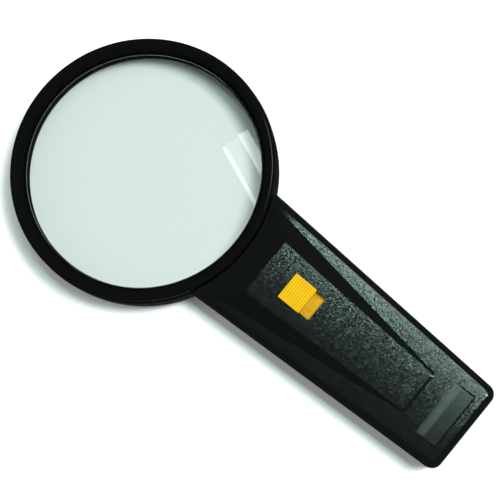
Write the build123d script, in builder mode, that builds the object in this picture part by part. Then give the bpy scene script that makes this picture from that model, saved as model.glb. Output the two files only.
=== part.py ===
"""Illuminated hand magnifier: round lens in a ring, flat tapering handle, slide switch, two AA cells.

The magnifier lies on its back. +X runs along the handle towards its tail, +Z is up through the
front face, and the origin is on the rest plane under the middle of the whole outline.
Names that end in _at are distances along +X from the lens centre. All sizes are in millimetres.
"""
from build123d import *
from math import atan2, cos, degrees, radians, sin, sqrt, tan
import os

os.makedirs("parts", exist_ok=True)

# ---------------------------------------------------------------- lens and ring
lens_diameter = 90.0
lens_curvature = 240.0
lens_edge = 2.6
opening_radius = 43.5
ring_radius = 49.2
bezel_radius = 48.8
ring_rim_top = 20.3
rim_edge_radius = 1.3
skirt_bottom = 13.3
ring_side_bottom = 8.5
ring_rest_radius = 46.6
shell_edge_radius = 0.3
lens_seat_radius = 45.2
lens_seat_gap = 0.02
flange_radius = 43.0
flange_bottom = 10.4
well_rear_radius = 45.6
channel_radius = 47.4
bezel_land = 0.7
bezel_shoulder_width = 3.5
bezel_shoulder_middle = (1.4, 1.3)
skirt_gap = 0.3

# ---------------------------------------------------------------- handle shells
tail_at = 147.0
handle_start_at = 40.0
neck_gauge_at = 44.0
tail_gauge_at = 145.0
neck_half_width = 22.9
tail_half_width = 17.05
tail_corner_radius = 3.4
base_top = 19.0
parting = 15.5
shell_ledge = 0.5
wall = 1.6
floor_thickness = 1.8
rear_draft = 1.0
front_edge_radius = 2.3
rear_edge_radius = 3.0
lip_depth = 1.5
lip_thickness = 0.8
fit_gap = 0.1
slip_gap = 0.05
past = 1.0

# ---------------------------------------------------------------- raised panel and label recess
panel_start_at = 59.0
panel_end_at = 126.2
panel_start_half = 11.05
panel_end_half = 8.05
panel_rise_start = 4.7
panel_rise_end = 0.25
panel_corner_radius = 1.4
panel_edge_radius = 0.3
foot_start_at = 46.5
foot_end_at = 127.2
foot_start_half = 19.6
foot_end_half = 8.6
panel_skin = 1.8
label_start_at = 133.6
label_ramp_at = 137.0
label_end_at = 142.5
label_half_width = 11.1
label_step = 0.12
label_depth = 0.5
label_wall_slope = 45.0

# ---------------------------------------------------------------- slide switch, along the panel
switch_travel = 4.0
slot_start = 10.4
slot_length = 13.1
slot_half_width = 4.75
cap_start = 10.0
cap_length = 9.1
cap_half_width = 5.2
cap_height = 1.9
cap_lift = 0.15
cap_edge_radius = 0.3
rib_count = 9
rib_pitch = 0.95
rib_depth = 0.35
rib_groove = 0.4
slider_thickness = 1.2
slider_start = 5.4
slider_end = 25.2
slider_half_width = 7.8
rail_half_width = 8.0
rail_thickness = 1.2
rail_root = 0.3
board_depth = 6.0
board_thickness = 1.2
board_start = 4.5
board_end = 26.6
board_half_width = 9.2
board_screw_x = 11.0
board_screw_y = 10.9
strip_half_spacing = 3.2
strip_width = 2.4
strip_live_start = 8.0
strip_live_end = 29.4
strip_lamp_route = [(19.4, -3.2), (24.4, -3.2), (24.4, -6.6), (3.2, -6.6)]
leaf_thickness = 0.3
wiper_start = 9.0
wiper_fold = 13.0
wiper_foot = 16.6
wiper_clearance = 0.05
wiper_toe = (1.2, 0.7)
wiper_bend_radius = 0.4
wiper_leg_half = 1.0
screw_tap_radius = 0.9
board_screw_length = 3.0
board_screw_head = 1.2
board_screw_head_radius = 1.8
board_stud_radius = 1.9
board_ear_radius = 2.2

# ---------------------------------------------------------------- cells, contacts and cover
cell_radius = 7.1
can_radius = 6.9
cell_length = 50.5
nub_radius = 2.75
nub_height = 1.2
can_shoulder = 0.5
jacket_bare = 1.6
cell_axis_y = 7.2
cell_axis_z = 9.5
bulkhead_at = 86.5
bulkhead_thickness = 1.6
bulkhead_top = 13.9
tail_plate_at = 143.9
tail_plate_half = 12.4
tail_post_grip = 0.6
plate_thickness = 0.4
plate_bottom = 3.6
plate_top = 13.2
plate_half_width = 4.2
tab_half_width = 1.6
tab_bottom = 12.8
tab_length = 3.4
contact_arm_top = 16.3
contact_arm_width = 1.4
dimple_height = 0.8
dimple_radius = 2.6
dimple_taper = 35.0
spring_wire_radius = 0.35
spring_base_radius = 4.4
spring_turns = 3.5
spring_cone = 22.0
cover_start_at = 90.0
cover_half_width = 12.45
cover_tongue = 0.95
cover_tongue_bottom = 1.1
cover_gap = 0.15
grip_start_at = 95.0
grip_grooves = 6
grip_pitch = 1.4
grip_depth = 0.5
grip_half_width = 7.0

# ---------------------------------------------------------------- lamp
lamp_at = 47.8
lamp_height = 7.1
lamp_tilt = 10.0
reflector_length = 6.8
reflector_skin = 0.5
reflector_rim_radius = 5.1
reflector_belly = (4.75, 3.6)
reflector_throat_radius = 3.7
bulb_radius = 3.0
bulb_neck_radius = 2.3
bulb_neck_length = 1.8
bulb_taper_length = 0.9
bulb_glass_skin = 0.4
bulb_tip_depth = 1.0
filament_depth = 4.6
filament_half_span = 1.0
filament_radius = 0.32
filament_post_radius = 0.18
filament_root = 11.5
cap_radius = 2.75
cap_from = 9.3
cap_to = 14.3
thread_turns = 5
thread_pitch = 0.8
thread_height = 0.15
seal_radius = 2.35
seal_bulge = 0.5
tip_radius = 1.1
tip_height = 0.5
socket_inner = 2.85
socket_outer = 3.3
socket_inset = 0.3
socket_tab_depth = 13.4
socket_tab_reach = 6.4
socket_tab_width = 2.4
contact_disc_radius = 2.0
contact_pin_radius = 0.7
contact_pin_end = 20.2
holder_from = 10.4
holder_to = 18.4
holder_half_width = 4.8
holder_half_height = 4.5
holder_corner = 1.0
holder_slot_reach = 6.4
cradle_at = 62.0
cradle_length = 2.6
cradle_half_width = 6.4
cradle_top = 9.5
window_at = 45.3
window_thickness = 1.1
window_half_width = 7.6
window_bottom = 2.1
window_corner = 0.5
tunnel_half_width = 6.4
tunnel_bottom = 2.6
tunnel_top = 11.9

# ---------------------------------------------------------------- fasteners and leads
screw_places_at = [(60.0, 15.5), (82.0, 14.5)]
boss_radius = 4.0
boss_top = 12.0
screw_head_radius = 2.7
screw_head_height = 2.0
screw_head_bottom = 0.6
screw_radius = 1.3
screw_clearance = 0.2
screw_tip = 16.4
cross_depth = 0.8
cross_length = 3.0
cross_width = 0.7
lead_radius = 0.65
lead_bend_share = 0.45

# ---------------------------------------------------------------- derived places
overall_length = ring_radius + tail_at + shell_ledge
lens_x = ring_radius - overall_length / 2
lens_radius = lens_diameter / 2
lens_sag = lens_curvature - sqrt(lens_curvature**2 - lens_radius**2)
lens_seat = parting - lens_edge
panel_run = panel_end_at - panel_start_at
panel_angle = degrees(atan2(panel_rise_start - panel_rise_end, panel_run))
front_plate_at = bulkhead_at + bulkhead_thickness
spring_length = tail_plate_at - front_plate_at - plate_thickness - dimple_height - cell_length

lens_axis = Axis((lens_x, 0, 0), (0, 0, 1))
lens_section = Plane(origin=(lens_x, 0, 0), x_dir=(1, 0, 0), z_dir=(0, -1, 0))
panel_plane = Plane(
    origin=(lens_x + panel_start_at, 0, base_top + panel_rise_start),
    x_dir=(cos(radians(panel_angle)), 0, -sin(radians(panel_angle))),
    z_dir=(sin(radians(panel_angle)), 0, cos(radians(panel_angle))),
)
panel_up = Axis(panel_plane.origin, panel_plane.z_dir)
panel_profile = Plane(origin=panel_plane.origin, x_dir=panel_plane.x_dir, z_dir=(0, -1, 0))
lamp_direction = Vector(cos(radians(lamp_tilt)), 0, sin(radians(lamp_tilt)))
lamp_origin = Vector(lens_x + lamp_at, 0, lamp_height)
lamp_axis = Axis(lamp_origin, lamp_direction)
lamp_plane = Plane(origin=lamp_origin, x_dir=(0, 1, 0), z_dir=lamp_direction)
lamp_section = Plane(origin=lamp_origin, x_dir=(0, 1, 0), z_dir=-lamp_plane.y_dir)


# ---------------------------------------------------------------- helpers
def at(distance):
    """World X of a point this far from the lens centre along the handle."""
    return lens_x + distance


def half_width(distance):
    """Half of the handle's width at the parting plane, this far from the lens centre."""
    slope = (tail_half_width - neck_half_width) / (tail_gauge_at - neck_gauge_at)
    return neck_half_width + slope * (distance - neck_gauge_at)


def box_between(low, high, mode=Mode.ADD):
    """Box between two opposite corners, in world millimetres."""
    centre = tuple((a + b) / 2 for a, b in zip(low, high))
    size = [b - a for a, b in zip(low, high)]
    with Locations(centre):
        Box(*size, mode=mode)


def both_sides(low, high, mode=Mode.ADD):
    """The same box on the +Y and the -Y side."""
    box_between(low, high, mode)
    box_between((low[0], -high[1], low[2]), (high[0], -low[1], high[2]), mode)


def post(x, y, bottom, top, radius, mode=Mode.ADD):
    """Upright cylinder between two heights."""
    with Locations((x, y, (bottom + top) / 2)):
        Cylinder(radius, top - bottom, mode=mode)


def trapezoid(start, end, near, far, corner=0.0):
    """Outline that tapers from one station to the next, its far corners rounded."""
    with BuildSketch() as outline:
        with BuildLine():
            Polyline((start, -near), (end, -far), (end, far), (start, near), close=True)
        make_face()
        if corner:
            fillet(outline.vertices().group_by(Axis.X)[-1], radius=corner)
    return outline.sketch_local


def handle_outline(inset=0.0, ring_cut=0.0):
    """Outline of the handle, moved in by inset, less a disc of radius ring_cut about the lens axis."""
    near = half_width(handle_start_at) - inset
    far = half_width(tail_at) - inset
    corner = max(tail_corner_radius - inset, lip_thickness)
    with BuildSketch() as outline:
        add(trapezoid(at(handle_start_at), at(tail_at) - inset, near, far, corner))
        if ring_cut:
            with Locations((lens_x, 0)):
                Circle(ring_cut, mode=Mode.SUBTRACT)
    return outline.sketch_local


def rear_handle():
    """Outer body of the handle's rear half, a ledge wider than the front, with rounded edges."""
    with BuildSketch(Plane.XY.offset(parting)) as outline:
        add(handle_outline(-shell_ledge))
    extrude(outline.sketch, amount=-parting, taper=rear_draft)
    for level, radius in ((0, rear_edge_radius), (-1, shell_edge_radius)):
        outer_edges = edges().group_by(Axis.Z)[level]
        fillet(outer_edges.filter_by(lambda e: e.center().X > at(neck_gauge_at)), radius)


def raised_panel(drop=0.0, mode=Mode.ADD):
    """Wedge that carries the switch: a sloping top on flat flanks, lowered by drop."""
    with BuildSketch(Plane.XY.offset(base_top - drop)) as foot:
        foot_corners = (at(foot_start_at), at(foot_end_at), foot_start_half, foot_end_half)
        add(trapezoid(*foot_corners, panel_corner_radius))
    lowered = Plane(
        origin=panel_plane.origin - Vector(0, 0, drop),
        x_dir=panel_plane.x_dir,
        z_dir=panel_plane.z_dir,
    )
    with BuildSketch(lowered) as top:
        top_length = panel_run / cos(radians(panel_angle))
        add(trapezoid(0, top_length, panel_start_half, panel_end_half, panel_corner_radius))
    loft([foot.sketch.face(), top.sketch.face()], ruled=True, mode=mode)


def panel_box(x_range, half_y, z_range, mode=Mode.ADD):
    """Box set square to the sloping panel; heights are measured up from the panel's face."""
    with BuildSketch(panel_plane.offset(z_range[0])) as footprint:
        with Locations(((x_range[0] + x_range[1]) / 2, 0)):
            Rectangle(x_range[1] - x_range[0], 2 * half_y)
    extrude(footprint.sketch, amount=z_range[1] - z_range[0], mode=mode)


def cell_section(negative_end, direction, side):
    """Plane through a cell's axis: local X is the radius, local Y runs from - to +."""
    origin = (at(negative_end), side * cell_axis_y, cell_axis_z)
    return Plane(origin=origin, x_dir=(0, 1, 0), z_dir=(0, 0, -direction))


def lens_drop(radius):
    """How far a lens face has fallen from its crown at this radius."""
    return lens_curvature - sqrt(lens_curvature**2 - radius**2)


def slider_level(low, high):
    """Two levels given above the underside of the slider plate, as levels from the panel's face."""
    underside = -panel_skin - fit_gap - slider_thickness
    return (underside + low, underside + high)


def keep(builder, name):
    """Label a finished piece and write it."""
    builder.part.label = name
    export_step(builder.part, f"parts/{name}.step")


# ---------------------------------------------------------------- rear shell
with BuildPart() as rear_shell:
    rear_handle()
    # ring: a round-backed rim about the lens axis
    with BuildSketch(lens_section):
        with BuildLine():
            side = TangentArc(
                (ring_radius, ring_side_bottom), (ring_rest_radius, 0), tangent=(0, -1)
            )
            edge = RadiusArc(
                (ring_radius, parting - shell_edge_radius),
                (ring_radius - shell_edge_radius, parting),
                -shell_edge_radius,
            )
            Line(side @ 0, edge @ 0)
            Polyline(edge @ 1, (flange_radius, parting), (flange_radius, 0), side @ 1)
        make_face()
    revolve(axis=lens_axis)
    # well under the lens, flared to the rear below the flange that the lens rests on
    with BuildSketch(lens_section):
        with BuildLine():
            Polyline(
                (0, -past),
                (well_rear_radius, -past),
                (well_rear_radius, 0),
                (flange_radius, flange_bottom),
                (flange_radius, parting + past),
                (0, parting + past),
                close=True,
            )
        make_face()
    revolve(axis=lens_axis, mode=Mode.SUBTRACT)
    # seat for the lens on the inner wall, and the channel that takes the bezel's skirt
    seat_inner = lens_seat - lens_sag + lens_drop(flange_radius) - lens_seat_gap
    with BuildSketch(lens_section):
        with BuildLine():
            Polyline(
                (flange_radius - past, seat_inner),
                (flange_radius, seat_inner),
                (lens_seat_radius, lens_seat),
                (channel_radius, lens_seat),
                (channel_radius, parting + past),
                (flange_radius - past, parting + past),
                close=True,
            )
        make_face()
    revolve(axis=lens_axis, mode=Mode.SUBTRACT)
    # inside of the handle
    with BuildSketch(Plane.XY.offset(parting)):
        add(handle_outline(wall - shell_ledge, ring_cut=ring_radius))
    extrude(amount=floor_thickness - parting, taper=rear_draft, mode=Mode.SUBTRACT)
    # bulkhead between the cells and the switch
    bulkhead_half = half_width(bulkhead_at) - wall
    box_between(
        (at(bulkhead_at), -bulkhead_half, floor_thickness),
        (at(front_plate_at), bulkhead_half, bulkhead_top),
    )
    # rails over the tongues of the battery cover
    rail_outer = tail_half_width - wall
    tongue_half = cover_half_width + cover_tongue
    both_sides(
        (at(cover_start_at), cover_half_width + cover_gap, floor_thickness),
        (at(tail_at) - 2 * wall, rail_outer, floor_thickness + lip_depth),
    )
    # opening for the battery cover, out through the tail
    cover_end = at(tail_at) + 2 * past
    opening_half = cover_half_width + cover_gap
    box_between(
        (at(cover_start_at), -opening_half, -past),
        (cover_end, opening_half, floor_thickness + cover_gap),
        Mode.SUBTRACT,
    )
    box_between(
        (at(cover_start_at), -tongue_half - cover_gap, cover_tongue_bottom - cover_gap),
        (cover_end, tongue_half + cover_gap, floor_thickness + cover_gap),
        Mode.SUBTRACT,
    )
    # slots that hold the link plate at the tail
    both_sides(
        (at(tail_plate_at) - past, tail_plate_half - tail_post_grip, plate_bottom),
        (at(tail_at) - wall / 2, tail_plate_half + wall, boss_top),
    )
    both_sides(
        (at(tail_plate_at) - slip_gap, 0, plate_bottom - past),
        (at(tail_plate_at) + plate_thickness + slip_gap, tail_plate_half + fit_gap, boss_top + past),
        Mode.SUBTRACT,
    )
    # screw bosses with their counterbores
    for screw_at, screw_y in screw_places_at:
        for side_y in (screw_y, -screw_y):
            post(at(screw_at), side_y, floor_thickness / 2, boss_top, boss_radius)
            seat = screw_head_bottom + screw_head_height
            head_hole = screw_head_radius + screw_clearance
            shank_hole = screw_radius + screw_clearance
            post(at(screw_at), side_y, -past, seat, head_hole, Mode.SUBTRACT)
            post(at(screw_at), side_y, -past, boss_top + past, shank_hole, Mode.SUBTRACT)
    # pocket for the lamp window, and the tunnel that lets the light out under the lens
    window_half = window_half_width + fit_gap
    box_between(
        (at(window_at) - slip_gap, -window_half, window_bottom - fit_gap),
        (at(window_at) + window_thickness + slip_gap, window_half, skirt_bottom),
        Mode.SUBTRACT,
    )
    box_between(
        (at(flange_radius) - 2 * past, -tunnel_half_width, tunnel_bottom),
        (at(window_at), tunnel_half_width, tunnel_top),
        Mode.SUBTRACT,
    )
    box_between(
        (at(window_at) + window_thickness, -tunnel_half_width, floor_thickness),
        (at(ring_radius) + wall, tunnel_half_width, skirt_bottom),
        Mode.SUBTRACT,
    )
    # cradle under the lamp holder
    box_between(
        (at(cradle_at), -cradle_half_width, floor_thickness),
        (at(cradle_at) + cradle_length, cradle_half_width, cradle_top),
    )
    with BuildSketch(lamp_plane.offset(holder_from)):
        Rectangle(2 * holder_half_width, 2 * holder_half_height)
    extrude(amount=holder_to - holder_from, mode=Mode.SUBTRACT)
    # notch in the bulkhead for the tab of the negative contact
    box_between(
        (at(bulkhead_at) - past, -cell_axis_y - tab_half_width - fit_gap, tab_bottom),
        (at(front_plate_at), -cell_axis_y + tab_half_width + fit_gap, bulkhead_top + past),
        Mode.SUBTRACT,
    )
keep(rear_shell, "rear_shell")

# ---------------------------------------------------------------- handle front
with BuildPart() as handle_front:
    with BuildSketch(Plane.XY.offset(parting)):
        add(handle_outline())
    extrude(amount=base_top - parting)
    top_edges = edges().group_by(Axis.Z)[-1]
    fillet(top_edges.filter_by(lambda e: e.center().X > at(neck_gauge_at)), front_edge_radius)
    raised_panel()
    panel_edges = edges().filter_by(lambda e: e.center().X < at(foot_end_at))
    panel_rim = panel_edges.filter_by(Plane.XY, reverse=True).sort_by(panel_up)[-4:]
    fillet(panel_rim, panel_edge_radius)
    # inside of the shell, and its lip inside the rear walls
    lip_outer = wall - shell_ledge + fit_gap + lip_depth * tan(radians(rear_draft))
    lip_inner = lip_outer + lip_thickness
    with BuildSketch(Plane.XY.offset(parting)):
        add(handle_outline(lip_inner, ring_cut=ring_radius + wall))
    extrude(amount=base_top - panel_skin - parting, mode=Mode.SUBTRACT)
    with BuildSketch(Plane.XY.offset(parting - lip_depth)):
        add(handle_outline(lip_outer, ring_cut=ring_radius + 3 * wall))
        add(handle_outline(lip_inner), mode=Mode.SUBTRACT)
    extrude(amount=lip_depth)
    raised_panel(panel_skin, Mode.SUBTRACT)
    # wall along the ring, under the start of the front slope
    with BuildSketch(Plane.XY.offset(parting)):
        with Locations((lens_x, 0)):
            Circle(ring_radius + wall)
        add(handle_outline(lip_inner), mode=Mode.INTERSECT)
    extrude(amount=base_top - fit_gap - parting)
    # screw bosses that meet the rear bosses
    for screw_at, screw_y in screw_places_at:
        for side_y in (screw_y, -screw_y):
            post(at(screw_at), side_y, boss_top + slip_gap, base_top - wall / 2, boss_radius - past)
            thread_hole = screw_radius + slip_gap
            post(at(screw_at), side_y, boss_top, screw_tip + fit_gap, thread_hole, Mode.SUBTRACT)
    # rails that guide the slider and carry the switch board
    for rail_side in (1, -1):
        with BuildSketch(panel_plane.offset(-board_depth)):
            rail_centre = rail_side * (rail_half_width + rail_thickness / 2)
            with Locations(((board_start + board_end) / 2, rail_centre)):
                Rectangle(board_end - board_start, rail_thickness)
        extrude(amount=board_depth - panel_skin + rail_root)
        with BuildSketch(panel_plane.offset(-board_depth)):
            with Locations((board_screw_x, rail_side * board_screw_y)):
                Circle(board_stud_radius)
        extrude(amount=board_depth - panel_skin + fit_gap)
        with BuildSketch(panel_plane.offset(-board_depth)):
            with Locations((board_screw_x, rail_side * board_screw_y)):
                Circle(screw_tap_radius)
        extrude(amount=board_screw_length, mode=Mode.SUBTRACT)
    # slot for the switch knob
    slot_levels = (-panel_skin - past, past)
    panel_box((slot_start, slot_start + slot_length), slot_half_width, slot_levels, Mode.SUBTRACT)
    # blank recess near the tail: sloping walls all round, and a ramp on the ring side
    with BuildSketch(Plane.XY.offset(base_top)):
        with Locations((at((label_start_at + label_end_at) / 2), 0)):
            Rectangle(label_end_at - label_start_at, 2 * label_half_width)
    extrude(amount=-label_depth, taper=label_wall_slope, mode=Mode.SUBTRACT)
    with BuildSketch(Plane.XZ.offset(-label_half_width)):
        with BuildLine():
            Polyline(
                (at(label_start_at), base_top - label_depth),
                (at(label_start_at), base_top - label_step),
                (at(label_ramp_at), base_top - label_depth),
                close=True,
            )
        make_face()
    extrude(amount=2 * label_half_width)
    # clear the ring, which the bezel and the rear shell make
    post(lens_x, 0, 0, base_top + panel_rise_start, ring_radius + fit_gap, Mode.SUBTRACT)
keep(handle_front, "handle_front")

# ---------------------------------------------------------------- lens and its bezel
with BuildPart() as lens:
    with BuildSketch(lens_section):
        with BuildLine():
            Line((0, lens_seat - lens_sag), (0, parting + lens_sag))
            ThreePointArc(
                (0, parting + lens_sag),
                (lens_radius / 2, parting + lens_sag - lens_drop(lens_radius / 2)),
                (lens_radius, parting),
            )
            Line((lens_radius, parting), (lens_radius, lens_seat))
            ThreePointArc(
                (lens_radius, lens_seat),
                (lens_radius / 2, lens_seat - lens_sag + lens_drop(lens_radius / 2)),
                (0, lens_seat - lens_sag),
            )
        make_face()
    revolve(axis=lens_axis)
keep(lens, "lens")

with BuildPart() as lens_bezel:
    lens_lip = parting + lens_sag - lens_drop(opening_radius) + fit_gap
    with BuildSketch(lens_section):
        with BuildLine():
            land = Line((opening_radius, lens_lip), (opening_radius, lens_lip + bezel_land))
            middle_in, middle_down = bezel_shoulder_middle
            shoulder = ThreePointArc(
                land @ 1,
                (opening_radius + middle_in, ring_rim_top - middle_down),
                (opening_radius + bezel_shoulder_width, ring_rim_top),
            )
            Line(shoulder @ 1, (bezel_radius - rim_edge_radius, ring_rim_top))
            RadiusArc(
                (bezel_radius - rim_edge_radius, ring_rim_top),
                (bezel_radius, ring_rim_top - rim_edge_radius),
                rim_edge_radius,
            )
            Polyline(
                (bezel_radius, ring_rim_top - rim_edge_radius),
                (bezel_radius, parting),
                (channel_radius - skirt_gap, parting),
                (channel_radius - skirt_gap, skirt_bottom),
                (lens_radius + fit_gap, skirt_bottom),
                (lens_radius + fit_gap, parting + fit_gap),
                (opening_radius, lens_lip),
            )
        make_face()
    revolve(axis=lens_axis)
keep(lens_bezel, "lens_bezel")

# ---------------------------------------------------------------- battery cover
with BuildPart() as battery_cover:
    rear_handle()
    box_between(
        (at(cover_start_at) + cover_gap, -tongue_half, -past),
        (cover_end, tongue_half, floor_thickness),
        Mode.INTERSECT,
    )
    both_sides(
        (at(cover_start_at), cover_half_width, -past),
        (cover_end, tongue_half + past, cover_tongue_bottom),
        Mode.SUBTRACT,
    )
    for groove in range(grip_grooves):
        groove_at = grip_start_at + groove * grip_pitch
        box_between(
            (at(groove_at), -grip_half_width, -past),
            (at(groove_at) + grip_pitch / 2, grip_half_width, grip_depth),
            Mode.SUBTRACT,
        )
keep(battery_cover, "battery_cover")

# ---------------------------------------------------------------- slide switch
with BuildPart() as switch_knob:
    panel_box((slider_start, slider_end), slider_half_width, slider_level(0, slider_thickness))
    neck_start = slot_start + fit_gap + slip_gap
    neck_end = slot_start + slot_length - switch_travel - fit_gap - slip_gap
    neck_levels = (-panel_skin - 2 * fit_gap, cap_lift + fit_gap)
    panel_box((neck_start, neck_end), slot_half_width - fit_gap, neck_levels)
    panel_box((cap_start, cap_start + cap_length), cap_half_width, (cap_lift, cap_height))
    cap_rim = faces().sort_by(panel_up)[-1].edges()
    fillet(cap_rim, cap_edge_radius)
    for rib in range(rib_count):
        groove_start = cap_start + cap_length / 2 + (rib - (rib_count - 1) / 2) * rib_pitch
        panel_box(
            (groove_start - rib_groove / 2, groove_start + rib_groove / 2),
            cap_half_width + past,
            (cap_height - rib_depth, cap_height + past),
            Mode.SUBTRACT,
        )
keep(switch_knob, "switch_knob")

with BuildPart() as switch_board:
    with BuildSketch(panel_plane.offset(-board_depth - board_thickness)):
        with Locations(((board_start + board_end) / 2, 0)):
            Rectangle(board_end - board_start, 2 * board_half_width)
        with Locations((board_screw_x, 0)):
            SlotCenterToCenter(2 * board_screw_y, 2 * board_ear_radius, rotation=90)
        with Locations((board_screw_x, board_screw_y), (board_screw_x, -board_screw_y)):
            Circle(screw_tap_radius + fit_gap, mode=Mode.SUBTRACT)
    extrude(amount=board_thickness)
keep(switch_board, "switch_board")

with BuildPart() as switch_board_screws:
    with BuildSketch(panel_plane.offset(-board_depth - board_thickness - board_screw_head)):
        with Locations((board_screw_x, board_screw_y), (board_screw_x, -board_screw_y)):
            Circle(board_screw_head_radius)
    extrude(amount=board_screw_head)
    with BuildSketch(panel_plane.offset(-board_depth - board_thickness)):
        with Locations((board_screw_x, board_screw_y), (board_screw_x, -board_screw_y)):
            Circle(screw_tap_radius - slip_gap)
    extrude(amount=board_thickness + board_screw_length - fit_gap)
keep(switch_board_screws, "switch_board_screws")

# live strip under both wiper feet, and the switched strip that only the pulled-back knob reaches
with BuildPart() as switch_strip_live:
    with BuildSketch(panel_plane.offset(-board_depth)):
        with Locations(((strip_live_start + strip_live_end) / 2, strip_half_spacing)):
            Rectangle(strip_live_end - strip_live_start, strip_width)
    extrude(amount=leaf_thickness)
keep(switch_strip_live, "switch_strip_live")

with BuildPart() as switch_strip_lamp:
    with BuildSketch(panel_plane.offset(-board_depth)):
        with BuildLine():
            Polyline(*strip_lamp_route)
        trace(line_width=strip_width)
    extrude(amount=leaf_thickness)
keep(switch_strip_lamp, "switch_strip_lamp")

with BuildPart() as switch_wiper:
    leaf_levels = slider_level(-leaf_thickness, 0)
    panel_box((wiper_start, wiper_fold), strip_half_spacing + wiper_leg_half, leaf_levels)
    foot_level = -board_depth + leaf_thickness + wiper_clearance + leaf_thickness / 2
    leaf_level = sum(leaf_levels) / 2
    toe_length, toe_rise = wiper_toe
    for leg_side in (1, -1):
        with BuildSketch(panel_profile.offset(leg_side * strip_half_spacing)):
            with BuildLine():
                FilletPolyline(
                    (wiper_start, leaf_level),
                    (wiper_fold, leaf_level),
                    (wiper_foot, foot_level),
                    (wiper_foot + toe_length, foot_level + toe_rise),
                    radius=wiper_bend_radius,
                )
            trace(line_width=leaf_thickness)
        extrude(amount=wiper_leg_half, both=True)
keep(switch_wiper, "switch_wiper")

# ---------------------------------------------------------------- cells
def cell_can(negative_end, direction, side):
    """Steel can of one cell with its rounded shoulders and its positive nub."""
    body_end = cell_length - nub_height
    with BuildSketch(cell_section(negative_end, direction, side)) as section:
        with BuildLine():
            Polyline((0, 0), (can_radius, 0), (can_radius, body_end), (nub_radius, body_end))
            Polyline((nub_radius, body_end), (nub_radius, cell_length), (0, cell_length), (0, 0))
        make_face()
        shoulders = section.vertices().group_by(Axis.X)[-1]
        fillet(shoulders, can_shoulder)
    centre = (at(negative_end), side * cell_axis_y, cell_axis_z)
    revolve(section.sketch, axis=Axis(centre, (1, 0, 0)))


def cell_jacket(negative_end, direction, side):
    """Thin printed sleeve shrunk over the can."""
    with BuildSketch(cell_section(negative_end, direction, side)) as section:
        with Locations(((can_radius + cell_radius) / 2, cell_length / 2)):
            Rectangle(cell_radius - can_radius, cell_length - 2 * jacket_bare)
    centre = (at(negative_end), side * cell_axis_y, cell_axis_z)
    revolve(section.sketch, axis=Axis(centre, (1, 0, 0)))


plus_cell_end = front_plate_at + plate_thickness + dimple_height + cell_length
minus_cell_start = tail_plate_at - dimple_height - cell_length
cell_places = {"left": (plus_cell_end, -1, 1), "right": (minus_cell_start, 1, -1)}
for cell_name, cell_place in cell_places.items():
    with BuildPart() as cell:
        cell_can(*cell_place)
    keep(cell, f"cell_{cell_name}_can")
    with BuildPart() as jacket:
        cell_jacket(*cell_place)
    keep(jacket, f"cell_{cell_name}_jacket")


# ---------------------------------------------------------------- battery contacts
def dimple(plate_face_at, direction, side):
    """Raised pad on a contact plate that meets a cell's nub."""
    centre = (at(plate_face_at), side * cell_axis_y, cell_axis_z)
    with BuildSketch(Plane(origin=centre, x_dir=(0, 1, 0), z_dir=(direction, 0, 0))) as pad:
        Circle(dimple_radius)
    extrude(pad.sketch, amount=dimple_height, taper=dimple_taper)


def front_contact(side):
    """Plate against the tail side of the bulkhead."""
    centre_y = side * cell_axis_y
    box_between(
        (at(front_plate_at), centre_y - plate_half_width, plate_bottom),
        (at(front_plate_at) + plate_thickness, centre_y + plate_half_width, plate_top),
    )


def cell_spring(plate_face_at, direction, side):
    """Conical compression spring that presses on a cell's flat end."""
    reach = spring_length - 2 * spring_wire_radius
    centre = (at(plate_face_at) + direction * spring_wire_radius, side * cell_axis_y, cell_axis_z)
    with BuildLine() as coil:
        Helix(
            pitch=reach / spring_turns,
            height=reach,
            radius=spring_base_radius,
            center=centre,
            direction=(direction, 0, 0),
            cone_angle=-spring_cone,
        )
    with BuildSketch(Plane(origin=coil.line @ 0, z_dir=coil.line % 0)) as wire:
        Circle(spring_wire_radius)
    sweep(wire.sketch, path=coil.line)


with BuildPart() as front_contact_plus:
    front_contact(1)
    # arm that rises to the live strip of the switch
    arm_inner = cell_axis_y - plate_half_width
    box_between(
        (at(front_plate_at), arm_inner, plate_top),
        (at(front_plate_at) + plate_thickness, arm_inner + contact_arm_width, contact_arm_top),
    )
    dimple(front_plate_at + plate_thickness, 1, 1)
keep(front_contact_plus, "front_contact_plus")

with BuildPart() as front_contact_minus:
    front_contact(-1)
    # tab through the bulkhead's notch, for the lead to the lamp
    box_between(
        (at(front_plate_at) - tab_length, -cell_axis_y - tab_half_width, tab_bottom),
        (
            at(front_plate_at) + plate_thickness,
            -cell_axis_y + tab_half_width,
            tab_bottom + plate_thickness,
        ),
    )
keep(front_contact_minus, "front_contact_minus")

with BuildPart() as tail_link_plate:
    box_between(
        (at(tail_plate_at), -tail_plate_half, plate_bottom),
        (at(tail_plate_at) + plate_thickness, tail_plate_half, plate_top),
    )
    dimple(tail_plate_at, -1, -1)
keep(tail_link_plate, "tail_link_plate")

with BuildPart() as front_spring:
    cell_spring(front_plate_at + plate_thickness, 1, -1)
keep(front_spring, "front_spring")

with BuildPart() as tail_spring:
    cell_spring(tail_plate_at, -1, 1)
keep(tail_spring, "tail_spring")


# ---------------------------------------------------------------- lamp
def turned_about_lamp(points):
    """Solid of revolution about the lamp axis from (radius, distance behind the rim) points."""
    with BuildSketch(lamp_section) as section:
        with BuildLine():
            Polyline(*points, close=True)
        make_face()
    revolve(section.sketch, axis=lamp_axis)


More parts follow.
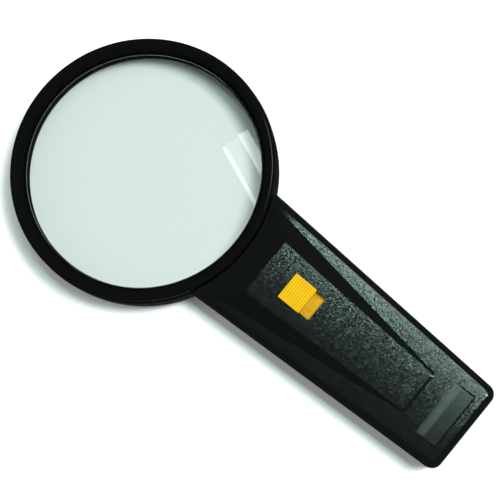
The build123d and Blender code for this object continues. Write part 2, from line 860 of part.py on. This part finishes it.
with BuildPart() as lamp_reflector:
    with BuildSketch(lamp_section):
        with BuildLine():
            belly_radius, belly_depth = reflector_belly
            outer = ThreePointArc(
                (reflector_rim_radius, 0),
                (belly_radius, belly_depth),
                (reflector_throat_radius, reflector_length),
            )
            inner = ThreePointArc(
                (reflector_rim_radius - reflector_skin, 0),
                (belly_radius - reflector_skin, belly_depth),
                (reflector_throat_radius - reflector_skin, reflector_length),
            )
            Line(outer @ 0, inner @ 0)
            Line(outer @ 1, inner @ 1)
        make_face()
    revolve(axis=lamp_axis)
keep(lamp_reflector, "lamp_reflector")

with BuildPart() as lamp_window:
    box_between(
        (at(window_at), -window_half_width, window_bottom),
        (at(window_at) + window_thickness, window_half_width, skirt_bottom - fit_gap),
    )
    fillet(edges().filter_by(Axis.X), window_corner)
keep(lamp_window, "lamp_window")

with BuildPart() as bulb_glass:
    with BuildSketch(lamp_section):
        with BuildLine():
            dome_depth = bulb_tip_depth + bulb_radius
            inner_radius = bulb_radius - bulb_glass_skin
            neck_inner = bulb_neck_radius - bulb_glass_skin
            RadiusArc((0, bulb_tip_depth), (bulb_radius, dome_depth), bulb_radius)
            Polyline(
                (bulb_radius, dome_depth),
                (bulb_radius, cap_from - bulb_taper_length),
                (bulb_neck_radius, cap_from),
                (bulb_neck_radius, cap_from + bulb_neck_length),
                (neck_inner, cap_from + bulb_neck_length),
                (neck_inner, cap_from),
                (inner_radius, cap_from - bulb_taper_length),
                (inner_radius, dome_depth),
            )
            RadiusArc((inner_radius, dome_depth), (0, dome_depth - inner_radius), -inner_radius)
            Line((0, dome_depth - inner_radius), (0, bulb_tip_depth))
        make_face()
    revolve(axis=lamp_axis)
keep(bulb_glass, "bulb_glass")

with BuildPart() as bulb_filament:
    with BuildSketch(lamp_plane.offset(filament_depth)):
        with Locations((-filament_half_span, 0), (filament_half_span, 0)):
            Circle(filament_post_radius)
    extrude(amount=filament_root - filament_depth)
    filament_start = lamp_origin + lamp_direction * filament_depth
    filament_start = filament_start - Vector(0, filament_half_span, 0)
    with BuildSketch(Plane(origin=filament_start, z_dir=(0, 1, 0))):
        Circle(filament_radius)
    extrude(amount=2 * filament_half_span)
keep(bulb_filament, "bulb_filament")

with BuildPart() as bulb_cap:
    thread_root = cap_radius - thread_height
    thread = []
    for turn in range(thread_turns):
        turn_start = cap_from + (turn + 1) * thread_pitch
        thread.append((thread_root, turn_start))
        thread.append((cap_radius, turn_start + thread_pitch / 2))
    turned_about_lamp(
        [(seal_radius, cap_from), (thread_root, cap_from)]
        + thread
        + [(thread_root, cap_to), (seal_radius, cap_to)]
    )
keep(bulb_cap, "bulb_cap")

with BuildPart() as bulb_insulator:
    seal_end = cap_to + seal_bulge
    turned_about_lamp(
        [(0, filament_root), (seal_radius, filament_root), (seal_radius, cap_to)]
        + [(tip_radius, seal_end), (0, seal_end)]
    )
keep(bulb_insulator, "bulb_insulator")

with BuildPart() as bulb_tip:
    with BuildSketch(lamp_plane.offset(seal_end)):
        Circle(tip_radius)
    extrude(amount=tip_height)
    fillet(edges().sort_by(lamp_axis)[-1], tip_height / 2)
keep(bulb_tip, "bulb_tip")

with BuildPart() as lamp_socket:
    socket_start = cap_from + socket_inset
    turned_about_lamp(
        [(socket_inner, socket_start), (socket_outer, socket_start)]
        + [(socket_outer, cap_to), (socket_inner, cap_to)]
    )
    # tab through the side of the holder, for the lead from the switch
    tab_root = (socket_inner + socket_outer) / 2
    with BuildSketch(lamp_plane.offset(socket_tab_depth)):
        with Locations((-(tab_root + socket_tab_reach) / 2, 0)):
            Rectangle(socket_tab_reach - tab_root, socket_tab_width)
    extrude(amount=plate_thickness)
keep(lamp_socket, "lamp_socket")

with BuildPart() as lamp_contact:
    disc_start = seal_end + tip_height
    disc_end = disc_start + plate_thickness
    with BuildSketch(lamp_plane.offset(disc_start)):
        Circle(contact_disc_radius)
    extrude(amount=plate_thickness)
    with BuildSketch(lamp_plane.offset(disc_end)):
        Circle(contact_pin_radius)
    extrude(amount=contact_pin_end - disc_end)
keep(lamp_contact, "lamp_contact")

with BuildPart() as lamp_holder:
    with BuildSketch(lamp_plane.offset(holder_from)):
        holder_width = 2 * (holder_half_width - slip_gap)
        holder_height = 2 * (holder_half_height - slip_gap)
        RectangleRounded(holder_width, holder_height, holder_corner)
        Circle(socket_outer + slip_gap, mode=Mode.SUBTRACT)
    extrude(amount=holder_to - holder_from)
    # end wall behind the contact disc
    with BuildSketch(lamp_plane.offset(disc_end)):
        Circle(socket_outer + fit_gap)
        Circle(contact_pin_radius + slip_gap, mode=Mode.SUBTRACT)
    extrude(amount=holder_to - disc_end)
    # slot for the socket's tab
    with BuildSketch(lamp_plane.offset(socket_tab_depth - slip_gap)):
        with Locations((-(socket_inner + holder_slot_reach) / 2, 0)):
            Rectangle(holder_slot_reach - socket_inner, socket_tab_width + 2 * slip_gap)
    extrude(amount=plate_thickness + 2 * slip_gap, mode=Mode.SUBTRACT)
keep(lamp_holder, "lamp_holder")

# ---------------------------------------------------------------- housing screws
with BuildPart() as housing_screws:
    for screw_at, screw_y in screw_places_at:
        for side_y in (screw_y, -screw_y):
            seat = screw_head_bottom + screw_head_height
            post(at(screw_at), side_y, screw_head_bottom, seat, screw_head_radius)
            post(at(screw_at), side_y, seat, screw_tip, screw_radius)
            with Locations((at(screw_at), side_y, screw_head_bottom)):
                Box(cross_length, cross_width, 2 * cross_depth, mode=Mode.SUBTRACT)
                Box(cross_width, cross_length, 2 * cross_depth, mode=Mode.SUBTRACT)
keep(housing_screws, "housing_screws")

# ---------------------------------------------------------------- leads
def lead(route):
    """Insulated lead along straight runs joined by the largest tangent arcs they leave room for."""
    points = [Vector(*point) for point in route]
    runs = [b - a for a, b in zip(points, points[1:])]
    radii = []
    for run_in, run_out in zip(runs, runs[1:]):
        half_turn = radians(run_in.get_angle(run_out) / 2)
        radii.append(lead_bend_share * min(run_in.length, run_out.length) / tan(half_turn))
    print("lead arc radii in mm:", [round(radius, 1) for radius in radii])
    with BuildLine() as path:
        FilletPolyline(*points, radius=radii)
    with BuildSketch(Plane(origin=path.line @ 0, z_dir=path.line % 0)) as section:
        Circle(lead_radius)
    sweep(section.sketch, path=path.line)


lamp_lead_route = [
    (at(61.55), -6.6, 17.7),
    (at(58.6), -7.1, 17.3),
    (at(57.2), -9.0, 14.8),
    (at(58.0), -10.4, 11.6),
    (at(60.6), -9.8, 9.5),
    (at(61.25), -6.45, 9.45),
]
negative_lead_route = [
    (at(84.65), -7.2, 13.0),
    (at(80.4), -7.4, 12.5),
    (at(76.4), -5.0, 11.6),
    tuple(lamp_origin + lamp_direction * (contact_pin_end + 4.6)),
    tuple(lamp_origin + lamp_direction * contact_pin_end),
]
with BuildPart() as lead_lamp:
    lead(lamp_lead_route)
keep(lead_lamp, "lead_lamp")

with BuildPart() as lead_negative:
    lead(negative_lead_route)
keep(lead_negative, "lead_negative")
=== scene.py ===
"""Looks for the illuminated hand magnifier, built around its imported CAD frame.

Every CAD node keeps its shape and gets a procedural material. The lens is drawn again as a
smooth polished solid in the place of its CAD node. All sizes are in metres.
"""
import math

import bpy
from mathutils import Matrix, Vector


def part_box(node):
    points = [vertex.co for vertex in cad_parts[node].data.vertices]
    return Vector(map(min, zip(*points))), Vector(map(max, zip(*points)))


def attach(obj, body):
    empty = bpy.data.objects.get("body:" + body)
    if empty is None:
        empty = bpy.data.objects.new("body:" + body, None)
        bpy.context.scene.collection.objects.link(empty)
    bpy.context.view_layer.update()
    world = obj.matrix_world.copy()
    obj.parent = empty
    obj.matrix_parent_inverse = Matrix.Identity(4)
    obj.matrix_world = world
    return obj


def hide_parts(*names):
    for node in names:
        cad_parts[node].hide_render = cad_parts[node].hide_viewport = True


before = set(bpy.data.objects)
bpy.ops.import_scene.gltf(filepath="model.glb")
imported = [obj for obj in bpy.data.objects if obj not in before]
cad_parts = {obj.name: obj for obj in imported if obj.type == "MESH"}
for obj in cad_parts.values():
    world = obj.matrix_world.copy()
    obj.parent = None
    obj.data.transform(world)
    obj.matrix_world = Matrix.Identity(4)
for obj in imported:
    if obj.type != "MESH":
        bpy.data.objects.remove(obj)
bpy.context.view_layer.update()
MM = 0.001

# ---------------------------------------------------------------- camera
CAMERA_PLACE = Vector((74.15, -23.0, 401.3)) * MM
CAMERA_AIM = Vector((1.05, 1.6, 19.0)) * MM
CAMERA_ROLL = 31.98    # degrees about its own axis
CAMERA_FOCAL = 79.47   # lens length on the default film, in mm
CAMERA_NEAR = 0.01


def make_camera():
    """Camera at the viewing angle of the reference, above the handle and turned about its own axis."""
    camera = bpy.data.objects.new("camera", bpy.data.cameras.new("camera"))
    camera.data.lens = CAMERA_FOCAL
    camera.data.clip_start = CAMERA_NEAR
    back = (CAMERA_PLACE - CAMERA_AIM).normalized()
    right = Vector((0, 0, 1)).cross(back).normalized()
    up = back.cross(right)
    level = Matrix((right, up, back)).transposed().to_4x4()
    roll = Matrix.Rotation(math.radians(-CAMERA_ROLL), 4, "Z")
    camera.matrix_world = Matrix.Translation(CAMERA_PLACE) @ level @ roll
    bpy.context.scene.collection.objects.link(camera)
    bpy.context.scene.camera = camera


# ---------------------------------------------------------------- studio
ROOM_COLOUR = (0.86, 0.95, 0.93)
ROOM_STRENGTH = 0.06
TUBE_LINE = (0.93, -0.37, 0)
GREEN_WHITE = (0.68, 1.0, 0.86)
MIDDLE = (0, 0, 0)
FLOOR_SIZE = 6
FLOOR_DROP = 0.02 * MM
KEPT_DARK = ("lens_smooth", "lens_bezel", "rear_shell", "switch_knob")


def area_light(name, place, aim, size, power, colour=(1, 1, 1), along=(1, 0, 0), mirrored=True):
    """Rectangular lamp at a place, facing a point, its long side set along a direction."""
    lamp = bpy.data.lights.new(name, "AREA")
    lamp.shape = "RECTANGLE"
    lamp.size, lamp.size_y = size
    lamp.energy = power
    lamp.color = colour
    holder = bpy.data.objects.new(name, lamp)
    back = (Vector(place) - Vector(aim)).normalized()
    side = (Vector(along) - Vector(along).dot(back) * back).normalized()
    up = back.cross(side)
    turn = Matrix((side, up, back)).transposed().to_4x4()
    holder.matrix_world = Matrix.Translation(place) @ turn
    holder.visible_glossy = mirrored
    holder.visible_transmission = False
    bpy.context.scene.collection.objects.link(holder)
    return holder


def make_studio():
    """Pale floor, dim surroundings, three tube lamps overhead, soft fills and the handle's sheen."""
    world = bpy.data.worlds.new("room")
    bpy.context.scene.world = world
    world.use_nodes = True
    background = world.node_tree.nodes["Background"]
    background.inputs["Color"].default_value = (*ROOM_COLOUR, 1)
    background.inputs["Strength"].default_value = ROOM_STRENGTH
    area_light("tube_near", (0.0, 0.50, 1.72), MIDDLE, (0.50, 0.03), 0.32, along=TUBE_LINE)
    area_light("tube_far", (0.02, 0.69, 1.72), MIDDLE, (0.50, 0.085), 0.95, along=TUBE_LINE)
    area_light("tube_glow", (0.01, 0.59, 1.73), MIDDLE, (0.50, 0.15), 0.35, along=TUBE_LINE)
    area_light("soft_box", (0.50, 0.56, 1.6), MIDDLE, (0.45, 0.35), 31.0, mirrored=False)
    area_light("paper_fill", (-0.3, -0.6, 1.6), MIDDLE, (1.8, 1.4), 10.0, mirrored=False)
    sheen = area_light(
        "handle_sheen", (0.25, 0.27, 1.5), (0.05, 0, 0), (1.1, 0.10), 8.5, colour=GREEN_WHITE
    )
    kept_dark = bpy.data.collections.new("not_lit_by_handle_sheen")
    sheen.light_linking.receiver_collection = kept_dark
    for name in KEPT_DARK:
        kept_dark.objects.link(bpy.data.objects[name])
    for link in kept_dark.collection_objects:
        link.light_linking.link_state = "EXCLUDE"
    bpy.ops.mesh.primitive_plane_add(size=FLOOR_SIZE, location=(0, 0, -FLOOR_DROP))
    floor = bpy.context.object
    floor.name = "floor"
    floor.visible_glossy = False
    paper = Paint("floor_paper", (0.93, 0.93, 0.93), 0.9)
    fibre = paper.noise(4 * MM, 4.0)
    paper.feed("Base Color", paper.mix(fibre, (0.92, 0.92, 0.92), (0.94, 0.94, 0.94)))
    floor.data.materials.append(paper.material)


# ---------------------------------------------------------------- material tools
class Paint:
    """One procedural material: a Principled shader and short ways to feed it."""

    def __init__(self, name, colour, roughness, metallic=0.0, **sockets):
        self.material = bpy.data.materials.new(name)
        self.material.use_nodes = True
        self.tree = self.material.node_tree
        self.shader = self.tree.nodes["Principled BSDF"]
        self.shader.inputs["Base Color"].default_value = (*colour, 1)
        self.shader.inputs["Roughness"].default_value = roughness
        self.shader.inputs["Metallic"].default_value = metallic
        for socket, value in sockets.items():
            self.shader.inputs[socket.replace("_", " ")].default_value = value
        self.place = self.node("ShaderNodeTexCoord")

    def node(self, kind, inputs=None, **settings):
        """New node with its settings, its inputs given as values or as sockets to link."""
        made = self.tree.nodes.new(kind)
        for setting, value in settings.items():
            setattr(made, setting, value)
        for socket, value in (inputs or {}).items():
            if isinstance(value, bpy.types.NodeSocket):
                self.tree.links.new(value, made.inputs[socket])
            else:
                made.inputs[socket].default_value = value
        return made

    def feed(self, socket, source):
        """Link a source to one of the shader's sockets."""
        self.tree.links.new(source, self.shader.inputs[socket])

    def noise(self, grain, detail=2.0, rough=0.5, stretch=(1, 1, 1)):
        """Noise whose features are about one grain (in metres) wide."""
        spread = self.node(
            "ShaderNodeMapping",
            {"Vector": self.place.outputs["Object"], "Scale": tuple(s / grain for s in stretch)},
        )
        made = self.node(
            "ShaderNodeTexNoise",
            {"Vector": spread.outputs["Vector"], "Scale": 1.0, "Detail": detail, "Roughness": rough},
        )
        return made.outputs["Fac"]

    def remap(self, source, low, high, to_low=0.0, to_high=1.0):
        """Source taken from one range to another, and held at its ends."""
        made = self.node(
            "ShaderNodeMapRange",
            {"Value": source, "From Min": low, "From Max": high, "To Min": to_low, "To Max": to_high},
        )
        return made.outputs["Result"]

    def math(self, operation, first, second):
        """Arithmetic on two values or sockets."""
        made = self.node("ShaderNodeMath", {0: first, 1: second}, operation=operation)
        return made.outputs[0]

    def mix(self, share, first, second):
        """Mix of two colours."""
        made = self.node("ShaderNodeMix", data_type="RGBA")
        for index, value in ((0, share), (6, first), (7, second)):
            if isinstance(value, bpy.types.NodeSocket):
                self.tree.links.new(value, made.inputs[index])
            else:
                made.inputs[index].default_value = value if index == 0 else (*value, 1)
        return made.outputs[2]

    def sparkle(self, grain, strength):
        """Normal tipped at random from one grain of the surface to the next."""
        spread = self.node(
            "ShaderNodeMapping",
            {"Vector": self.place.outputs["Object"], "Scale": (1 / grain, 1 / grain, 1 / grain)},
        )
        random = self.node(
            "ShaderNodeTexNoise", {"Vector": spread.outputs["Vector"], "Scale": 1.0, "Detail": 1.0}
        )
        centred = self.vector("SUBTRACT", random.outputs["Color"], (0.5, 0.5, 0.5))
        tipped = self.node("ShaderNodeVectorMath", operation="SCALE")
        self.tree.links.new(centred, tipped.inputs[0])
        self.tree.links.new(strength, tipped.inputs["Scale"])
        surface = self.node("ShaderNodeNewGeometry")
        summed = self.vector("ADD", surface.outputs["Normal"], tipped.outputs[0])
        return self.vector("NORMALIZE", summed)

    def vector(self, operation, first, second=(0, 0, 0)):
        """Vector arithmetic on two values or sockets."""
        made = self.node("ShaderNodeVectorMath", {0: first, 1: second}, operation=operation)
        return made.outputs[0]

    def bump(self, height, depth):
        """Bump of a height map that is this deep (in metres)."""
        made = self.node("ShaderNodeBump", {"Height": height, "Distance": depth, "Strength": 1.0})
        return made.outputs["Normal"]


def dress(paint, *nodes):
    """Give CAD nodes a material."""
    for name in nodes:
        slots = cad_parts[name].data.materials
        slots.clear()
        slots.append(paint.material)


# ---------------------------------------------------------------- materials
BLACK = (0.0022, 0.0028, 0.0028)
DUST = (0.012, 0.014, 0.014)
SPECKLE_GRAIN = 0.27 * MM
SPECKLE_STRENGTH = 0.21
FLAT_FROM, FLAT_TO = 0.986, 0.996        # upward share of the normal, from a flank to a flat top
LABEL_BOTTOM, LABEL_TOP = 18.6 * MM, 18.85 * MM
NECK_START, NECK_END = 1.0 * MM, 9.0 * MM  # the speckle fades in between these places along X
KNOB_SLOPE = 0.0625                      # fall of the sloping panel towards the tail
PLATE_TOP, KNOB_BOTTOM = 23.9 * MM, 24.2 * MM
GROOVE_BOTTOM, RIB_TOP = 25.85 * MM, 26.15 * MM
METAL_GRAIN = 0.2 * MM


def black_moulding(name, roughness, **sockets):
    """Glossy black ABS: faint flow marks, hair scratches and a little dust in the roughness."""
    paint = Paint(name, BLACK, roughness, **sockets)
    flow = paint.noise(9 * MM, 3.0)
    fine = paint.noise(0.6 * MM, 3.0, 0.6)
    blend = paint.math("ADD", paint.math("MULTIPLY", flow, 0.6), paint.math("MULTIPLY", fine, 0.4))
    paint.feed("Roughness", paint.remap(blend, 0.3, 0.7, roughness * 0.75, roughness * 1.3))
    dust = paint.remap(paint.noise(0.5 * MM, 4.0, 0.7), 0.66, 0.74)
    paint.feed("Base Color", paint.mix(dust, BLACK, DUST))
    paint.feed("Normal", paint.bump(flow, 0.005 * MM))
    return paint


def textured_front():
    """Black front moulding: sparkling spark-eroded faces, glossy flanks, edges and label recess."""
    paint = Paint("black_front", (0.003, 0.0038, 0.0036), 0.25)
    facing = paint.node("ShaderNodeSeparateXYZ", {"Vector": paint.place.outputs["Normal"]})
    place = paint.node("ShaderNodeSeparateXYZ", {"Vector": paint.place.outputs["Object"]})
    level_top = paint.remap(facing.outputs["Z"], FLAT_FROM, FLAT_TO)
    outside_label = paint.remap(place.outputs["Z"], LABEL_BOTTOM, LABEL_TOP, 0.25, 1.0)
    past_neck = paint.remap(place.outputs["X"], NECK_START, NECK_END)
    texture = paint.math("MULTIPLY", paint.math("MULTIPLY", level_top, outside_label), past_neck)
    tip = paint.math("MULTIPLY", texture, SPECKLE_STRENGTH)
    paint.feed("Normal", paint.sparkle(SPECKLE_GRAIN, tip))
    inside_label = paint.remap(place.outputs["Z"], 18.9 * MM, 18.7 * MM)
    near_tail = paint.remap(place.outputs["X"], 83.0 * MM, 84.0 * MM)
    label = paint.math("MULTIPLY", inside_label, near_tail)
    ramp = paint.remap(place.outputs["X"], 88.1 * MM, 87.7 * MM, 0.10, 0.20)
    polish = paint.remap(texture, 0, 1, 0.05, 0.10)
    paint.feed("Roughness", paint.math("ADD", polish, paint.math("MULTIPLY", label, ramp)))
    return paint


def yellow_plastic():
    """Satin yellow knob, with painted shade: the sliding plate under it, the knob's sides and the
    grooves between its ribs are coloured darker.
    """
    paint = Paint("yellow_knob", (0.80, 0.47, 0.004), 0.34)
    place = paint.node("ShaderNodeSeparateXYZ", {"Vector": paint.place.outputs["Object"]})
    fall = paint.math("MULTIPLY", place.outputs["X"], KNOB_SLOPE)
    level = paint.math("ADD", place.outputs["Z"], fall)
    on_knob = paint.remap(level, PLATE_TOP, KNOB_BOTTOM)
    # painted shade: below the rib tops, the knob's sides and the grooves between the ribs take mostly a
    # darker orange
    rib_unshaded_share = paint.remap(level, GROOVE_BOTTOM, RIB_TOP, 0.35, 1.0)
    mottle = paint.remap(paint.noise(3 * MM, 3.0), 0.35, 0.65)
    rib = paint.mix(mottle, (0.86, 0.56, 0.001), (0.80, 0.50, 0.001))
    # the darker orange here is the painted shade colour for the knob's sides and rib grooves
    knob = paint.mix(rib_unshaded_share, (0.55, 0.31, 0.001), rib)
    # painted shade: the sliding plate, lying low in the slot, is coloured a darker, browner yellow
    plate = paint.mix(mottle, (0.62, 0.36, 0.008), (0.50, 0.27, 0.008))
    paint.feed("Base Color", paint.mix(on_knob, plate, knob))
    paint.feed("Roughness", paint.remap(paint.noise(0.5 * MM), 0.3, 0.7, 0.28, 0.42))
    paint.feed("Normal", paint.bump(paint.noise(0.3 * MM), 0.006 * MM))
    return paint


def clear(name, tint, ior=1.49):
    """Clear plastic or glass that lets lamp light through to what lies behind it."""
    paint = Paint(name, tint, 0.0, Transmission_Weight=1.0, IOR=ior)
    light = paint.node("ShaderNodeLightPath")
    through = paint.node("ShaderNodeBsdfTransparent", {"Color": (*tint, 1)})
    mixer = paint.node("ShaderNodeMixShader", {0: light.outputs["Is Shadow Ray"]})
    output = paint.tree.nodes["Material Output"]
    paint.tree.links.new(paint.shader.outputs["BSDF"], mixer.inputs[1])
    paint.tree.links.new(through.outputs["BSDF"], mixer.inputs[2])
    paint.tree.links.new(mixer.outputs["Shader"], output.inputs["Surface"])
    return paint


def bright_metal(name, colour, roughness):
    """Plated or rolled metal with a fine streaked finish."""
    paint = Paint(name, colour, roughness, metallic=1.0)
    streaks = paint.noise(METAL_GRAIN, 3.0, 0.6, stretch=(0.15, 1, 1))
    paint.feed("Roughness", paint.remap(streaks, 0.3, 0.7, roughness * 0.7, roughness * 1.4))
    tarnish = paint.remap(paint.noise(2.5 * MM, 4.0), 0.45, 0.75)
    darker = tuple(0.6 * c for c in colour)
    paint.feed("Base Color", paint.mix(tarnish, colour, darker))
    return paint


def plain_plastic(name, colour, roughness):
    """Matt moulded or extruded plastic with a slight mottle."""
    paint = Paint(name, colour, roughness)
    mottle = paint.remap(paint.noise(1.5 * MM, 4.0), 0.35, 0.7)
    paint.feed("Base Color", paint.mix(mottle, colour, tuple(0.75 * c for c in colour)))
    paint.feed("Normal", paint.bump(paint.noise(0.25 * MM), 0.008 * MM))
    return paint


# ---------------------------------------------------------------- lens
LENS_CURVATURE = 240 * MM
LENS_RINGS = 60
LENS_SECTORS = 240
LENS_SHARP_ANGLE = 40


def smooth_lens(paint):
    """Lens drawn again with the CAD lens's own sizes, dense enough to mirror lamps cleanly."""
    low, high = (Vector(corner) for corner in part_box("lens"))
    middle = (low + high) / 2
    radius = (high.x - low.x) / 2
    faces_sides = ((high.z, -1), (low.z, 1))
    profile = []
    for crown, fall in faces_sides:
        half = []
        for step in range(LENS_RINGS + 1):
            out = radius * step / LENS_RINGS
            drop = LENS_CURVATURE - math.sqrt(LENS_CURVATURE ** 2 - out ** 2)
            half.append((out, crown + fall * drop))
        profile += half if fall < 0 else half[::-1]
    points = []
    for out, level in profile[1:-1]:
        for turn in range(LENS_SECTORS):
            angle = 2 * math.pi * turn / LENS_SECTORS
            points.append((middle.x + out * math.cos(angle), middle.y + out * math.sin(angle), level))
    faces = []
    for ring in range(len(profile) - 3):
        for turn in range(LENS_SECTORS):
            following = (turn + 1) % LENS_SECTORS
            here = ring * LENS_SECTORS
            below = here + LENS_SECTORS
            faces.append((here + turn, below + turn, below + following, here + following))
    front, rear = len(points), len(points) + 1
    points += [(middle.x, middle.y, profile[0][1]), (middle.x, middle.y, profile[-1][1])]
    last = (len(profile) - 3) * LENS_SECTORS
    for turn in range(LENS_SECTORS):
        following = (turn + 1) % LENS_SECTORS
        faces.append((front, turn, following))
        faces.append((rear, last + following, last + turn))
    mesh = bpy.data.meshes.new("lens_smooth")
    mesh.from_pydata(points, [], faces)
    mesh.polygons.foreach_set("use_smooth", [True] * len(mesh.polygons))
    mesh.set_sharp_from_angle(angle=math.radians(LENS_SHARP_ANGLE))
    mesh.materials.append(paint.material)
    lens = bpy.data.objects.new("lens_smooth", mesh)
    bpy.context.scene.collection.objects.link(lens)
    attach(lens, "housing")
    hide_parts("lens")


def paint_all():
    """Give every CAD node its material."""
    shell = black_moulding("black_shell", 0.30, Specular_IOR_Level=0.45)
    dress(shell, "rear_shell", "battery_cover")
    dress(textured_front(), "handle_front")
    dress(black_moulding("black_bezel", 0.12), "lens_bezel")
    dress(yellow_plastic(), "switch_knob")
    lens_paint = clear("lens_acrylic", (0.851, 0.877, 0.866))
    dress(lens_paint, "lens")
    smooth_lens(lens_paint)
    dress(clear("window_clear", (0.96, 0.98, 0.97)), "lamp_window")
    dress(clear("bulb_glass", (0.98, 0.99, 0.99), ior=1.5), "bulb_glass")
    dress(plain_plastic("board", (0.16, 0.07, 0.025), 0.5), "switch_board")
    dress(bright_metal("screw_steel", (0.56, 0.56, 0.57), 0.3), "switch_board_screws", "housing_screws")
    brass = bright_metal("contact_brass", (0.78, 0.57, 0.25), 0.25)
    dress(brass, "switch_strip_live", "switch_strip_lamp", "lamp_socket", "lamp_contact", "bulb_cap")
    dress(bright_metal("contact_bronze", (0.70, 0.43, 0.24), 0.28), "switch_wiper")
    nickel = bright_metal("contact_nickel", (0.66, 0.64, 0.60), 0.2)
    dress(nickel, "front_contact_plus", "front_contact_minus", "tail_link_plate")
    dress(nickel, "front_spring", "tail_spring")
    dress(bright_metal("cell_steel", (0.55, 0.55, 0.56), 0.22), "cell_left_can", "cell_right_can")
    dress(plain_plastic("cell_sleeve", (0.03, 0.10, 0.22), 0.3), "cell_left_jacket", "cell_right_jacket")
    dress(bright_metal("tungsten", (0.25, 0.25, 0.25), 0.5), "bulb_filament")
    dress(plain_plastic("black_glass", (0.01, 0.01, 0.01), 0.2), "bulb_insulator")
    dress(bright_metal("solder", (0.55, 0.55, 0.57), 0.35), "bulb_tip")
    dress(plain_plastic("holder_plastic", (0.70, 0.68, 0.60), 0.45), "lamp_holder")
    dress(bright_metal("reflector_chrome", (0.86, 0.86, 0.87), 0.06), "lamp_reflector")
    dress(plain_plastic("lead_red", (0.40, 0.02, 0.015), 0.4), "lead_lamp")
    dress(plain_plastic("lead_black", (0.012, 0.012, 0.012), 0.4), "lead_negative")


bpy.context.scene.view_settings.view_transform = "Standard"
make_camera()
paint_all()
make_studio()
